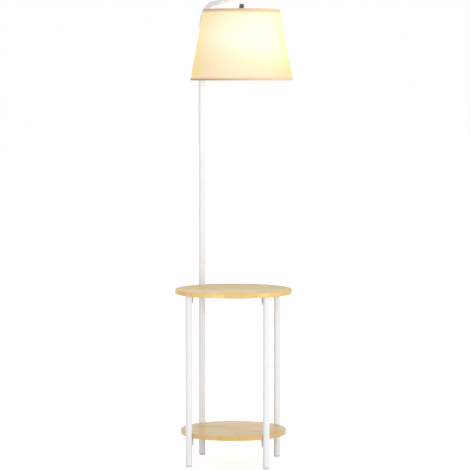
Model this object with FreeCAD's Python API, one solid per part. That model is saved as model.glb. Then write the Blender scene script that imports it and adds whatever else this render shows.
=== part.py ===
import FreeCAD, Part
import math
import os

# Floor lamp with a round table and a lower shelf.
# Millimetres. +Z is up, +X runs from the pole to the shade, and the origin is on
# the floor under the middle of the whole lamp's outline.

V = FreeCAD.Vector
UP = V(0, 0, 1)

# ---- boards
TABLE_R = 190.0
TABLE_THICK = 15.0
TABLE_TOP_Z = 569.0
SHELF_THICK = 15.0
SHELF_TOP_Z = 110.0
BOARD_TOP_ROUND = 2.5
BOARD_UNDER_ROUND = 1.5

# ---- legs and pole
TUBE_R = 11.0
TUBE_WALL = 1.0
LEG_INSET = 12.0            # leg's axis inside the table's rim
SHELF_INSET = 5.0           # shelf's rim inside the circle of the leg axes
POLE_TOP_Z = 1340.0
NOTCH_GAP = 0.8             # between a leg and the shelf's notch
FIT = 0.05                  # radial clearance of everything pressed, screwed or turning

# ---- foot caps
FOOT_HEAD = 7.0
FOOT_ROUND = 5.0
FOOT_SHANK = 15.0
FOOT_WALL = 2.0

# ---- brackets under the boards
BRACKET_THICK = 2.5
BRACKET_WIDTH = 20.0
BRACKET_DROP = 26.0
BRACKET_REACH = 30.0
BRACKET_SEAT = 0.6          # how deep the tube sits in the upright leaf
SCREW_R = 2.0
SCREW_HEAD_R = 4.0
SCREW_HEAD = 2.4
SCREW_HEAD_ROUND = 1.2
SLOT_WIDTH = 0.9
SLOT_DEPTH = 1.0
SCREW_HOLE_CLEAR = 0.2      # round the screw in the bracket
SCREW_GRIP = 10.0           # thread length in the wood
PILOT_SPARE = 1.0
SCREW_SPREAD = 4.8          # each screw's distance from the bracket's middle line
SCREW_FROM_TUBE = 16.0

# ---- threaded joints of the pole
STUD_R = 5.0
STUD_CLEAR = 0.3            # round the stud in the table top
STUD_BORE_R = 3.5
PLUG_LENGTH = 14.0
STUD_GRIP = 12.0            # stud's thread in each plug

# ---- cord gland in the rear leg
GLAND_Z = 42.0
GLAND_R = 4.0
GLAND_FLANGE_R = 5.6
GLAND_PROUD = 1.5
GLAND_INNER = 3.0           # depth of its flange inside the tube
GLAND_BORE_R = 3.1

# ---- swivel at the top of the pole
COLLAR_HEAD = 12.0
COLLAR_SHANK = 24.0
COLLAR_EDGE = 3.0
COLLAR_BEVEL = 1.65
BUSH_WALL = 1.45
BUSH_RIM = 0.5
BUSH_FLANGE = 0.8
JOURNAL_R = 6.0
JOURNAL_LENGTH = 30.0
SPIGOT_FLANGE = 1.5
SPIGOT_UP = 20.0
SPIGOT_BORE_R = 3.6
STOP_R = 1.5
STOP_BELOW_TOP = 7.0
STOP_SUNK = 0.8
STOP_CLEAR = 0.2            # screw's tip to the groove's floor and sides
GROOVE_DEPTH = 1.0
SWING_LIMIT_DEG = 150.0
SWING_SPARE_DEG = 1.0
FACE_GAP = 0.1              # between flat faces that turn on each other

# ---- arm
ARM_R = 8.0
ARM_WALL = 1.2
ARM_RISER = 84.0            # pole's top to the start of the arm's bend
ARM_BEND_R = 73.0
ARM_RISE_DEG = 4.3
ARM_REACH = 222.0           # pole's axis to shade's axis
ARM_PAST_BOSS = 8.0
ARM_CAP_HEAD = 2.0
ARM_CAP_ROUND = 1.4
ARM_CAP_SHANK = 8.0
ARM_CAP_WALL = 1.5
BOSS_WALL = 1.2
BOSS_DROP = 17.5            # arm's axis to the boss's lower face
BOSS_IN_ARM = 2.0           # how far it reaches past the arm's lower wall
BOSS_ROOM = 0.5             # between it and the end cap's shank

# ---- knuckle
NUT_THICK = 2.5
NUT_WALL = 1.45
KNUCKLE_WALL = 2.6
KNUCKLE_HEAD = 3.0
CHEEK_R = 6.0
CHEEK_CLEAR = 0.5
CHEEK_GAP = 0.8
CHEEK_SEAT = 1.35           # depth of the seats for the screw's head and the nut
KNUCKLE_BASE = 5.0
KNUCKLE_ROOF = 1.0          # metal left over the nipple's bore
NIPPLE_TIP_GAP = 0.2
WASHER_INSET = 0.5
PIVOT_R = 2.0
PIVOT_HEAD_R = 3.2
PIVOT_HEAD = 2.0
SEAT_CLEAR = 0.3

# ---- bulb, with the standard 27 mm screw cap
BULB_CAP_R = 12.8
BULB_THREAD = 0.4
BULB_THREADS = 4
BULB_THREAD_PITCH = 3.6
BULB_THREAD_HALF = 1.3
BULB_CAP_WALL = 1.0
BULB_CAP = 21.0
BULB_TIP = 5.3
BULB_TIP_FOOT_R = 9.0
BULB_BUTTON_R = 4.6
BULB_BUTTON = 1.5
BULB_HOUSING = 36.0
BULB_GLOBE_R = 30.0
BULB_GLOBE_DROP = 9.0       # globe's centre below the housing's rim
BULB_NECK_STEP = 1.2        # the housing's neck is this much wider than the cap
BULB_NECK = 6.0
BULB_FLARE = 1.0
BULB_WALL = 1.2
BULB_FLOOR = 2.0            # housing's inner floor above its rim
BULB_BOARD_R = 20.0
BULB_BOARD = 1.6

# ---- lampholder, heights counted down from its top, widths built up from the bulb's cap
CAP_PLAY = 0.4
SLEEVE_WALL = 0.8
SLEEVE_LENGTH = 23.0
SLEEVE_ROOM = 1.6           # air between the thread sleeve and the shell
HOLDER_WALL = 2.0
HOLDER_STEP = 1.0           # the cap is this much wider than the body, and the flange than the cap
HOLDER_NECK_WALL = 3.45
HOLDER_NECK = 4.0
HOLDER_SHOULDER = 14.0
HOLDER_SHOULDER_IN = 3.5    # half way up the shoulder's curve, in from the cap's side
HOLDER_CAP = 27.0
HOLDER_ROOF = 2.5
HOLDER_SPIGOT = 6.0
HOLDER_FLANGE = 2.5
HOLDER_BODY = 27.0
THREAD_RISE = 0.6
THREAD_START = 3.0
THREAD_PITCH = 3.0
THREAD_COUNT = 6
INSERT_TOP = 17.0
INSERT_PAST_CAP = 1.0
INSERT_RIM = 3.0
TERMINAL_R = 1.75
TERMINAL_LENGTH = 6.0
TERMINAL_PROUD = 2.0
TERMINAL_SPREAD = 9.0
CONTACT_R = 4.0
CONTACT_THICK = 2.5

# ---- shade
SHADE_TOP_R = 122.9
SHADE_BOTTOM_R = 164.9
SHADE_HEIGHT = 228.0
SHADE_DROP = 36.0           # shade's upper edge above the spider's hub
CLOTH = 1.2
BIND_THICK = 0.6
BIND_WIDTH = 8.0
BIND_LIP = 0.7
LIP_PAST_RING = 0.8
RING_WIRE_R = 1.5
RING_FROM_EDGE = 2.6
HUB_WIDTH = 5.25
HUB_THICK = 1.5
SPIDER_ARMS = 3
SPIDER_FIRST_DEG = 60.0
SPIDER_WELD = 0.8           # how far a wire runs into the hub's rim
SHADE_RING_WALL = 4.35
SHADE_RING = 7.0
SHADE_RING_GRIPS = 16
GRIP_R = 1.8
GRIP_OUT = 0.6

# ---- derived places
SHELF_R = TABLE_R - LEG_INSET - SHELF_INSET
LEG_CIRCLE_R = TABLE_R - LEG_INSET
TUBE_IN_R = TUBE_R - TUBE_WALL
TABLE_UNDER_Z = TABLE_TOP_Z - TABLE_THICK
SHELF_UNDER_Z = SHELF_TOP_Z - SHELF_THICK
STUD_BORE = STUD_R + FIT
BUSH_OUT_R = JOURNAL_R + FIT + BUSH_WALL
BUSH_FLANGE_R = BUSH_OUT_R + BUSH_RIM
ARM_BEND_START_Z = POLE_TOP_Z + ARM_RISER
ARM_IN_R = ARM_R - ARM_WALL
BOSS_R = STUD_BORE + BOSS_WALL
NUT_FLATS = 2 * (STUD_BORE + NUT_WALL)
KNUCKLE_R = STUD_BORE + KNUCKLE_WALL
HOLDER_NECK_R = STUD_BORE + HOLDER_NECK_WALL
BEND_ANGLE = 90.0 - ARM_RISE_DEG
RISE = math.radians(ARM_RISE_DEG)
BEND_OUT = ARM_BEND_R * (1.0 - math.sin(RISE))
ARM_Z = ARM_BEND_START_Z + ARM_BEND_R * math.cos(RISE) + (ARM_REACH - BEND_OUT) * math.tan(RISE)
BOSS_LOW_Z = ARM_Z - BOSS_DROP
BOSS_TOP_Z = ARM_Z - ARM_IN_R + BOSS_IN_ARM
HEAD_TOP_Z = BOSS_LOW_Z - NUT_THICK
HEAD_UNDER_Z = HEAD_TOP_Z - KNUCKLE_HEAD
PIVOT_Z = HEAD_UNDER_Z - CHEEK_CLEAR - CHEEK_R
BASE_TOP_Z = PIVOT_Z - CHEEK_CLEAR - CHEEK_R
HOLDER_TOP_Z = BASE_TOP_Z - KNUCKLE_BASE
CHEEK_SEAT_Y = KNUCKLE_R - CHEEK_SEAT
BULB_NECK_R = BULB_CAP_R + BULB_NECK_STEP
SLEEVE_R = BULB_CAP_R + BULB_THREAD + CAP_PLAY + SLEEVE_WALL
INSERT_R = SLEEVE_R + 0.25 * SLEEVE_ROOM
SHELL_IN_R = SLEEVE_R + SLEEVE_ROOM
HOLDER_BODY_R = SHELL_IN_R + HOLDER_WALL
HOLDER_R = HOLDER_BODY_R + HOLDER_STEP
HOLDER_FLANGE_R = HOLDER_R + HOLDER_STEP
THREAD_R = HOLDER_BODY_R + THREAD_RISE
HUB_HOLE_R = THREAD_R + 3 * FIT
HUB_R = HUB_HOLE_R + HUB_WIDTH
SHADE_RING_R = THREAD_R + FIT + SHADE_RING_WALL
FLANGE_UNDER_Z = HOLDER_TOP_Z - HOLDER_CAP - HOLDER_FLANGE
HUB_TOP_Z = FLANGE_UNDER_Z - FACE_GAP
SHADE_TOP_Z = HUB_TOP_Z + SHADE_DROP
SHADE_BOTTOM_Z = SHADE_TOP_Z - SHADE_HEIGHT
SHADE_SLOPE = (SHADE_BOTTOM_R - SHADE_TOP_R) / SHADE_HEIGHT

BACK = max(TABLE_R, LEG_CIRCLE_R + TUBE_R + GLAND_PROUD)
FRONT = max(TABLE_R, ARM_REACH - LEG_CIRCLE_R + SHADE_BOTTOM_R + FIT + BIND_THICK)
TABLE_X = (BACK - FRONT) / 2.0
POLE_X = TABLE_X - LEG_CIRCLE_R
SHADE_X = POLE_X + ARM_REACH

LEGS = {"front": 0.0, "left": 90.0, "rear": 180.0, "right": 270.0}


def save(node, *solids):
    """Write one node: a single solid, or a group of like ones."""
    shape = solids[0] if len(solids) == 1 else Part.makeCompound(list(solids))
    shape.exportStep(os.path.join("parts", node + ".step"))


def cylinder(radius, low, high, x=0.0, y=0.0):
    return Part.makeCylinder(radius, high - low, V(x, y, low), UP)


def ring(outer, inner, low, high, x=0.0, y=0.0):
    return cylinder(outer, low, high, x, y).cut(cylinder(inner, low - 1, high + 1, x, y))


def turned(start, *steps):
    """A solid of revolution about Z. A step is (r, z) for a straight line, or a pair
    of points for an arc through the first to the second; the outline closes itself."""
    edges = []
    here = V(start[0], 0, start[1])
    first = here
    for step in steps:
        if isinstance(step[0], tuple):
            through = V(step[0][0], 0, step[0][1])
            there = V(step[1][0], 0, step[1][1])
            edges.append(Part.Arc(here, through, there).toShape())
        else:
            there = V(step[0], 0, step[1])
            edges.append(Part.makeLine(here, there))
        here = there
    edges.append(Part.makeLine(here, first))
    return Part.Face(Part.Wire(edges)).revolve(V(0, 0, 0), UP, 360)


def across(radius, x0, x1, z, y=0.0):
    """A cylinder along X."""
    return Part.makeCylinder(radius, x1 - x0, V(x0, y, z), V(1, 0, 0))


def rounded(shape, radius, z):
    """Round the circular edges that lie at height z."""
    edges = [e for e in shape.Edges if abs(e.BoundBox.ZMin - z) < 1e-6 and abs(e.BoundBox.ZMax - z) < 1e-6]
    return shape.makeFillet(radius, edges)


def moved(shape, x=0.0, y=0.0, z=0.0):
    shape = shape.copy()
    shape.translate(V(x, y, z))
    return shape


def at_leg(shape, azimuth):
    """Move a shape drawn for a leg on the table's +X side to the leg at an azimuth."""
    shape = shape.copy()
    shape.rotate(V(0, 0, 0), UP, azimuth)
    shape.translate(V(TABLE_X, 0, 0))
    return shape


def at_shade(shape):
    return moved(shape, SHADE_X)


# ---- boards

def bracket_screw_places(under_z):
    """Centres of a bracket's two wood screws, for the leg on +X."""
    x = LEG_CIRCLE_R - TUBE_R - SCREW_FROM_TUBE
    return [V(x, side * SCREW_SPREAD, under_z) for side in (-1, 1)]


def board(radius, thick, top_z):
    disc = cylinder(radius, top_z - thick, top_z)
    disc = rounded(disc, BOARD_TOP_ROUND, top_z)
    disc = rounded(disc, BOARD_UNDER_ROUND, top_z - thick)
    under = top_z - thick
    for azimuth in LEGS.values():
        for place in bracket_screw_places(under):
            pilot = cylinder(SCREW_R + FIT, under - 1, under + SCREW_GRIP + PILOT_SPARE, place.x, place.y)
            pilot.rotate(V(0, 0, 0), UP, azimuth)
            disc = disc.cut(pilot)
    return disc


def table_top():
    disc = board(TABLE_R, TABLE_THICK, TABLE_TOP_Z)
    stud_hole = cylinder(STUD_R + STUD_CLEAR, TABLE_UNDER_Z - 1, TABLE_TOP_Z + 1, -LEG_CIRCLE_R)
    return moved(disc.cut(stud_hole), TABLE_X)


def lower_shelf():
    disc = board(SHELF_R, SHELF_THICK, SHELF_TOP_Z)
    for azimuth in LEGS.values():
        notch = cylinder(TUBE_R + NOTCH_GAP, SHELF_UNDER_Z - 1, SHELF_TOP_Z + 1, LEG_CIRCLE_R)
        notch.rotate(V(0, 0, 0), UP, azimuth)
        disc = disc.cut(notch)
    return moved(disc, TABLE_X)


# ---- legs, foot caps and brackets

def leg():
    return ring(TUBE_R, TUBE_IN_R, FOOT_HEAD, TABLE_UNDER_Z, LEG_CIRCLE_R)


def rear_leg():
    hole = across(GLAND_R + FIT, LEG_CIRCLE_R, LEG_CIRCLE_R + 2 * TUBE_R, GLAND_Z)
    return leg().cut(hole)


def foot_cap():
    head = rounded(cylinder(TUBE_R, 0, FOOT_HEAD), FOOT_ROUND, 0)
    shank_r = TUBE_IN_R - FIT
    shank = ring(shank_r, shank_r - FOOT_WALL, FOOT_HEAD, FOOT_HEAD + FOOT_SHANK)
    return moved(head.fuse(shank).removeSplitter(), LEG_CIRCLE_R)


def rounded_leaf(length, thick):
    """A flat strip of the bracket's width, with a half-round far end, along +X from 0."""
    half = BRACKET_WIDTH / 2
    strip = Part.makeBox(length - half, BRACKET_WIDTH, thick, V(0, -half, 0))
    return strip.fuse(cylinder(half, 0, thick, length - half))


def bracket(under_z):
    """Angle bracket on a leg's inner side: one leaf down the tube, one under the board."""
    face_x = LEG_CIRCLE_R - TUBE_R + BRACKET_SEAT
    flat = rounded_leaf(BRACKET_REACH, BRACKET_THICK)
    flat.rotate(V(0, 0, 0), UP, 180)
    flat.translate(V(face_x, 0, under_z - BRACKET_THICK))
    upright = rounded_leaf(BRACKET_DROP, BRACKET_THICK)
    upright.rotate(V(0, 0, 0), V(0, 1, 0), 90)
    upright.translate(V(face_x - BRACKET_THICK, 0, under_z))
    shape = flat.fuse(upright).removeSplitter()
    shape = shape.cut(cylinder(TUBE_R + FIT, under_z - 2 * BRACKET_DROP, under_z + 1, LEG_CIRCLE_R))
    for place in bracket_screw_places(under_z):
        hole = cylinder(SCREW_R + SCREW_HOLE_CLEAR, under_z - 2 * BRACKET_THICK, under_z + 1, place.x, place.y)
        shape = shape.cut(hole)
    return shape


def bracket_screws(under_z):
    """All the wood screws under one board: pan heads below, threads up in the wood."""
    screws = []
    seat = under_z - BRACKET_THICK
    for azimuth in LEGS.values():
        for place in bracket_screw_places(under_z):
            face = seat - SCREW_HEAD
            head = rounded(cylinder(SCREW_HEAD_R, face, seat), SCREW_HEAD_ROUND, face)
            corner = V(-SCREW_HEAD_R, -SLOT_WIDTH / 2, face)
            slot = Part.makeBox(2 * SCREW_HEAD_R, SLOT_WIDTH, SLOT_DEPTH, corner)
            screw = head.cut(slot).fuse(cylinder(SCREW_R, seat, under_z + SCREW_GRIP))
            screw.translate(V(place.x, place.y, 0))
            screws.append(at_leg(screw, azimuth))
    return screws


# ---- pole

POLE_SPLIT_Z = (TABLE_TOP_Z + POLE_TOP_Z) / 2.0


def threaded_plug(low):
    plug = ring(TUBE_IN_R - FIT, STUD_BORE, low, low + PLUG_LENGTH)
    return moved(plug, POLE_X)


def hollow_stud(low, high):
    return ring(STUD_R, STUD_BORE_R, low, high, POLE_X)


def pole_length(low, high):
    return ring(TUBE_R, TUBE_IN_R, low, high, POLE_X)


def cord_gland():
    """Rubber grommet in the back of the rear leg, with a flange on each side of the wall."""
    tall = GLAND_FLANGE_R + 1
    outer = across(GLAND_FLANGE_R, 0, TUBE_R + GLAND_PROUD, GLAND_Z)
    outer = outer.cut(cylinder(TUBE_R + FIT, GLAND_Z - tall, GLAND_Z + tall))
    inner = across(GLAND_FLANGE_R, TUBE_IN_R - GLAND_INNER, TUBE_R, GLAND_Z)
    inner = inner.common(cylinder(TUBE_IN_R - FIT, GLAND_Z - tall, GLAND_Z + tall))
    neck = across(GLAND_R, TUBE_IN_R - GLAND_INNER, TUBE_R + GLAND_PROUD, GLAND_Z)
    gland = neck.fuse([outer, inner]).cut(across(GLAND_BORE_R, 0, 2 * TUBE_R, GLAND_Z))
    return moved(gland.removeSplitter(), LEG_CIRCLE_R)


# ---- swivel at the pole's top

COLLAR_TOP_Z = POLE_TOP_Z + COLLAR_HEAD
STOP_Z = COLLAR_TOP_Z - STOP_BELOW_TOP
ARM_FOOT_Z = COLLAR_TOP_Z + BUSH_FLANGE + FACE_GAP + SPIGOT_FLANGE


def stop_bore(radius):
    """The stop screw's hole, along -X from the pole's axis."""
    return across(radius, -2 * TUBE_R, 0, STOP_Z)


def pole_collar():
    bore = BUSH_OUT_R + FIT
    foot = POLE_TOP_Z - COLLAR_SHANK
    shank_r = TUBE_IN_R - FIT
    collar = turned((bore, foot), (shank_r, foot), (shank_r, POLE_TOP_Z), (TUBE_R, POLE_TOP_Z),
                    (TUBE_R, COLLAR_TOP_Z - COLLAR_EDGE),
                    (TUBE_R - COLLAR_BEVEL, COLLAR_TOP_Z), (bore, COLLAR_TOP_Z))
    return moved(collar.cut(stop_bore(STOP_R + FIT)), POLE_X)


def swivel_bush():
    """Nylon bush: a sleeve in the collar and a thin flange that carries the arm."""
    bore = JOURNAL_R + FIT
    foot = COLLAR_TOP_Z - JOURNAL_LENGTH
    flange_z = COLLAR_TOP_Z + BUSH_FLANGE
    bush = turned((bore, foot), (BUSH_OUT_R, foot), (BUSH_OUT_R, COLLAR_TOP_Z),
                  (BUSH_FLANGE_R, COLLAR_TOP_Z), (BUSH_FLANGE_R, flange_z), (bore, flange_z))
    return moved(bush.cut(stop_bore(STOP_R + FIT)), POLE_X)


def stop_screw():
    """Grub screw whose tip runs in the spigot's groove."""
    tip = JOURNAL_R - GROOVE_DEPTH + STOP_CLEAR
    return moved(across(STOP_R, STOP_SUNK - TUBE_R, -tip, STOP_Z), POLE_X)


def arm_spigot():
    """Turned steel foot of the arm. Its groove stops at a land, which ends the swing."""
    top = ARM_FOOT_Z + SPIGOT_UP
    foot = COLLAR_TOP_Z - JOURNAL_LENGTH
    flange = ARM_FOOT_Z - SPIGOT_FLANGE
    up_r = ARM_IN_R - FIT
    body = turned((SPIGOT_BORE_R, foot), (JOURNAL_R, foot), (JOURNAL_R, flange), (ARM_R, flange),
                  (ARM_R, ARM_FOOT_Z), (up_r, ARM_FOOT_Z), (up_r, top), (SPIGOT_BORE_R, top))
    half_high = STOP_R + STOP_CLEAR
    groove = ring(JOURNAL_R + 1, JOURNAL_R - GROOVE_DEPTH, STOP_Z - half_high, STOP_Z + half_high)
    screw_angle = math.degrees(math.asin(STOP_R / (JOURNAL_R - GROOVE_DEPTH)))
    land_half = 180.0 - SWING_LIMIT_DEG - screw_angle - SWING_SPARE_DEG
    land = Part.makeCylinder(JOURNAL_R + 2, 4 * half_high, V(0, 0, STOP_Z - 2 * half_high), UP, 2 * land_half)
    land.rotate(V(0, 0, 0), UP, -land_half)
    return moved(body.cut(groove.cut(land)), POLE_X)


# ---- arm

def arm_path(start_z, end_past):
    """Centre line: up the pole's axis, round the bend, then rising gently over the table."""
    bend_end = V(BEND_OUT, 0, ARM_BEND_START_Z + ARM_BEND_R * math.cos(RISE))
    half = math.radians(BEND_ANGLE / 2)
    bend_mid = V(ARM_BEND_R * (1 - math.cos(half)), 0, ARM_BEND_START_Z + ARM_BEND_R * math.sin(half))
    end_x = ARM_REACH + end_past
    end = V(end_x, 0, ARM_Z + end_past * math.tan(RISE))
    bend_start = V(0, 0, ARM_BEND_START_Z)
    return Part.Wire([Part.makeLine(V(0, 0, start_z), bend_start),
                      Part.Arc(bend_start, bend_mid, bend_end).toShape(),
                      Part.makeLine(bend_end, end)])


def swept(radius, path, start_z):
    circle = Part.Wire(Part.makeCircle(radius, V(0, 0, start_z), UP))
    return path.makePipeShell([circle], True, False)


def arm_tube():
    path = arm_path(ARM_FOOT_Z, ARM_PAST_BOSS)
    tube = swept(ARM_R, path, ARM_FOOT_Z).cut(swept(ARM_IN_R, path, ARM_FOOT_Z))
    boss_hole = cylinder(BOSS_R + FIT, ARM_Z - 2 * ARM_R, ARM_Z, ARM_REACH)
    return moved(tube.cut(boss_hole), POLE_X)


def arm_end_cap():
    """Closing cap: a domed head and a shank in the tube, along the arm's rise."""
    shank_r = ARM_IN_R - FIT
    head = rounded(cylinder(ARM_R, 0, ARM_CAP_HEAD), ARM_CAP_ROUND, ARM_CAP_HEAD)
    shank = ring(shank_r, shank_r - ARM_CAP_WALL, -ARM_CAP_SHANK, 0)
    cap = head.fuse(shank).removeSplitter()
    cap.rotate(V(0, 0, 0), V(0, 1, 0), BEND_ANGLE)
    end_z = ARM_Z + ARM_PAST_BOSS * math.tan(RISE)
    cap.translate(V(POLE_X + ARM_REACH + ARM_PAST_BOSS, 0, end_z))
    room = cylinder(BOSS_R + BOSS_ROOM, ARM_Z - 2 * ARM_R, BOSS_TOP_Z + BOSS_ROOM, SHADE_X)
    return cap.cut(room)


def arm_boss():
    return at_shade(ring(BOSS_R, STUD_BORE, BOSS_LOW_Z, BOSS_TOP_Z))


# ---- knuckle

def hexagon(flats, low, high):
    corner = flats / math.sqrt(3)
    points = [V(corner * math.cos(math.radians(60 * k)), corner * math.sin(math.radians(60 * k)), low)
              for k in range(7)]
    return Part.Face(Part.makePolygon(points)).extrude(V(0, 0, high - low))


def knuckle_nipple():
    return at_shade(ring(STUD_R, STUD_BORE_R, HEAD_UNDER_Z, BOSS_TOP_Z))


def lock_nut():
    nut = hexagon(NUT_FLATS, HEAD_TOP_Z, BOSS_LOW_Z - FACE_GAP)
    return at_shade(nut.cut(cylinder(STUD_BORE, HEAD_TOP_Z - 1, BOSS_LOW_Z + 1)))


def crosswise(radius, y0, y1):
    """A cylinder along Y on the knuckle's pivot axis."""
    return Part.makeCylinder(radius, y1 - y0, V(0, y0, PIVOT_Z), V(0, 1, 0))


def cheek(side, web_low, web_high):
    """One half of the knuckle's ear: a disc on the pivot and a web to its own end."""
    near = CHEEK_GAP / 2
    y0, y1 = (near, KNUCKLE_R) if side > 0 else (-KNUCKLE_R, -near)
    web = Part.makeBox(2 * CHEEK_R, y1 - y0, web_high - web_low, V(-CHEEK_R, y0, web_low))
    body = crosswise(CHEEK_R, y0, y1).fuse(web)
    return body.common(cylinder(KNUCKLE_R, BASE_TOP_Z - 1, HEAD_UNDER_Z + 1))


def pivot_seats(bore):
    """What the screw takes out of the ears: its bore, and a seat for the head and nut."""
    seats = crosswise(bore, -KNUCKLE_R, KNUCKLE_R)
    room = PIVOT_HEAD_R + SEAT_CLEAR
    seats = seats.fuse(crosswise(room, CHEEK_SEAT_Y, 2 * KNUCKLE_R))
    return seats.fuse(crosswise(room, -2 * KNUCKLE_R, -CHEEK_SEAT_Y))


def knuckle_upper():
    head = ring(KNUCKLE_R, STUD_BORE, HEAD_UNDER_Z, HEAD_TOP_Z)
    ear = cheek(1, PIVOT_Z, HEAD_UNDER_Z)
    return at_shade(head.fuse(ear).removeSplitter().cut(pivot_seats(PIVOT_R + FIT)))


def knuckle_lower():
    base = cylinder(KNUCKLE_R, HOLDER_TOP_Z, BASE_TOP_Z)
    base = base.cut(cylinder(STUD_BORE, HOLDER_TOP_Z - 1, BASE_TOP_Z - KNUCKLE_ROOF))
    ear = cheek(-1, BASE_TOP_Z, PIVOT_Z)
    return at_shade(base.fuse(ear).removeSplitter().cut(pivot_seats(PIVOT_R + FIT)))


def knuckle_screw():
    seat = CHEEK_SEAT_Y + FACE_GAP
    face = seat + PIVOT_HEAD
    head = crosswise(PIVOT_HEAD_R, seat, face)
    slot = Part.makeBox(2 * PIVOT_HEAD_R, SLOT_DEPTH, SLOT_WIDTH,
                        V(-PIVOT_HEAD_R, face - SLOT_DEPTH, PIVOT_Z - SLOT_WIDTH / 2))
    shank = crosswise(PIVOT_R, -CHEEK_SEAT_Y - PIVOT_HEAD, seat)
    return at_shade(head.cut(slot).fuse(shank))


def knuckle_nut():
    nut = crosswise(PIVOT_HEAD_R, -CHEEK_SEAT_Y - PIVOT_HEAD, -CHEEK_SEAT_Y)
    return at_shade(nut.cut(crosswise(PIVOT_R + FIT, -2 * KNUCKLE_R, 0)))


def friction_washer():
    half = CHEEK_GAP / 2 - FACE_GAP / 2
    washer = crosswise(CHEEK_R - WASHER_INSET, -half, half)
    return at_shade(washer.cut(crosswise(PIVOT_R + FIT, -1, 1)))


# ---- lampholder; z runs down from the holder's own top

def at_holder(shape):
    return moved(shape, SHADE_X, 0, HOLDER_TOP_Z)


def holder_nipple():
    low = -(HOLDER_NECK + HOLDER_ROOF)
    return at_holder(ring(STUD_R, STUD_BORE_R, low, KNUCKLE_BASE - KNUCKLE_ROOF - NIPPLE_TIP_GAP))


def holder_cap():
    neck, shoulder, inside = -HOLDER_NECK, -HOLDER_SHOULDER, -(HOLDER_NECK + HOLDER_ROOF)
    inner_r = HOLDER_R - HOLDER_WALL
    half_way = (HOLDER_R - HOLDER_SHOULDER_IN, neck - HOLDER_SHOULDER_IN + 0.5)
    cap = turned((STUD_BORE, 0), (HOLDER_NECK_R, 0), (HOLDER_NECK_R, neck), (half_way, (HOLDER_R, shoulder)),
                 (HOLDER_R, -HOLDER_CAP), (inner_r, -HOLDER_CAP), (inner_r, shoulder),
                 (HOLDER_NECK_R - 1, inside), (STUD_BORE, inside))
    return at_holder(cap)


def ridge(root, foot, crest, z, half):
    """One turn of a thread, as a ring with a sharp crest, rooted in its own wall."""
    return turned((root, z - half), (foot, z - half), (crest, z), (foot, z + half), (root, z + half))


def holder_body():
    """Flanged shell of the holder, with the thread that takes the shade ring."""
    top = -HOLDER_CAP
    flange = top - HOLDER_FLANGE
    low = top - HOLDER_BODY
    spigot_r = HOLDER_R - HOLDER_WALL - FIT
    shell = turned((SHELL_IN_R, top + HOLDER_SPIGOT), (spigot_r, top + HOLDER_SPIGOT), (spigot_r, top),
                   (HOLDER_FLANGE_R, top), (HOLDER_FLANGE_R, flange), (HOLDER_BODY_R, flange),
                   (HOLDER_BODY_R, low), (SHELL_IN_R, low))
    root = HOLDER_BODY_R - HOLDER_WALL / 2
    for turn in range(THREAD_COUNT):
        z = flange - THREAD_START - turn * THREAD_PITCH
        shell = shell.fuse(ridge(root, HOLDER_BODY_R, THREAD_R, z, THREAD_PITCH / 3))
    return at_holder(shell.removeSplitter())


INSERT_LOW = -(HOLDER_CAP + INSERT_PAST_CAP)
CONTACT_LOW = INSERT_LOW - CONTACT_THICK
TERMINAL_TOP = -INSERT_TOP + TERMINAL_PROUD


def terminals(radius, high):
    """A cylinder on each terminal, from its foot up to a height."""
    low = TERMINAL_TOP - TERMINAL_LENGTH
    return [cylinder(radius, low, high, side * TERMINAL_SPREAD) for side in (-1, 1)]


def holder_insert():
    """Moulded insert that carries the contacts, with pockets for the terminal screws."""
    rim = ring(SHELL_IN_R - FIT, INSERT_R - 1, INSERT_LOW, INSERT_LOW + INSERT_RIM)
    insert = cylinder(INSERT_R, INSERT_LOW, -INSERT_TOP).fuse(rim).removeSplitter()
    for pocket in terminals(TERMINAL_R + FIT, 0):
        insert = insert.cut(pocket)
    return at_holder(insert)


def terminal_screws():
    return [at_holder(screw) for screw in terminals(TERMINAL_R, TERMINAL_TOP)]


def thread_sleeve():
    return at_holder(ring(SLEEVE_R, SLEEVE_R - SLEEVE_WALL, INSERT_LOW - SLEEVE_LENGTH, INSERT_LOW))


def centre_contact():
    return at_holder(cylinder(CONTACT_R, CONTACT_LOW, INSERT_LOW))


def shade_ring():
    """Ring nut under the spider's hub, with finger grips round its rim."""
    top = -(HOLDER_CAP + HOLDER_FLANGE) - 2 * FACE_GAP - HUB_THICK
    nut = ring(SHADE_RING_R, THREAD_R + FIT, top - SHADE_RING, top)
    for k in range(SHADE_RING_GRIPS):
        turn = 2 * math.pi * k / SHADE_RING_GRIPS
        out = SHADE_RING_R + GRIP_OUT
        grip = cylinder(GRIP_R, top - SHADE_RING - 1, top + 1, out * math.cos(turn), out * math.sin(turn))
        nut = nut.cut(grip)
    return at_holder(nut)


# ---- bulb

TIP_TOP = CONTACT_LOW - FIT
CAP_TOP = TIP_TOP - BULB_TIP
CAP_LOW = CAP_TOP - BULB_CAP
HOUSING_LOW = CAP_LOW - BULB_HOUSING
GLOBE_Z = HOUSING_LOW - BULB_GLOBE_DROP


def bulb_tip():
    """Insulating cone with its contact button, at the top of the bulb's cap."""
    return at_holder(turned((0, CAP_TOP), (BULB_TIP_FOOT_R, CAP_TOP), (BULB_BUTTON_R, TIP_TOP - BULB_BUTTON),
                            (BULB_BUTTON_R, TIP_TOP), (0, TIP_TOP)))


def bulb_cap():
    inner = BULB_CAP_R - BULB_CAP_WALL
    cap = ring(BULB_CAP_R, inner, CAP_LOW, CAP_TOP).fuse(cylinder(BULB_CAP_R, CAP_TOP - BULB_CAP_WALL, CAP_TOP))
    for turn in range(BULB_THREADS):
        z = CAP_TOP - (turn + 1) * BULB_THREAD_PITCH
        crest = BULB_CAP_R + BULB_THREAD
        cap = cap.fuse(ridge(BULB_CAP_R - BULB_CAP_WALL / 2, BULB_CAP_R, crest, z, BULB_THREAD_HALF))
    return at_holder(cap.removeSplitter())


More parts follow.
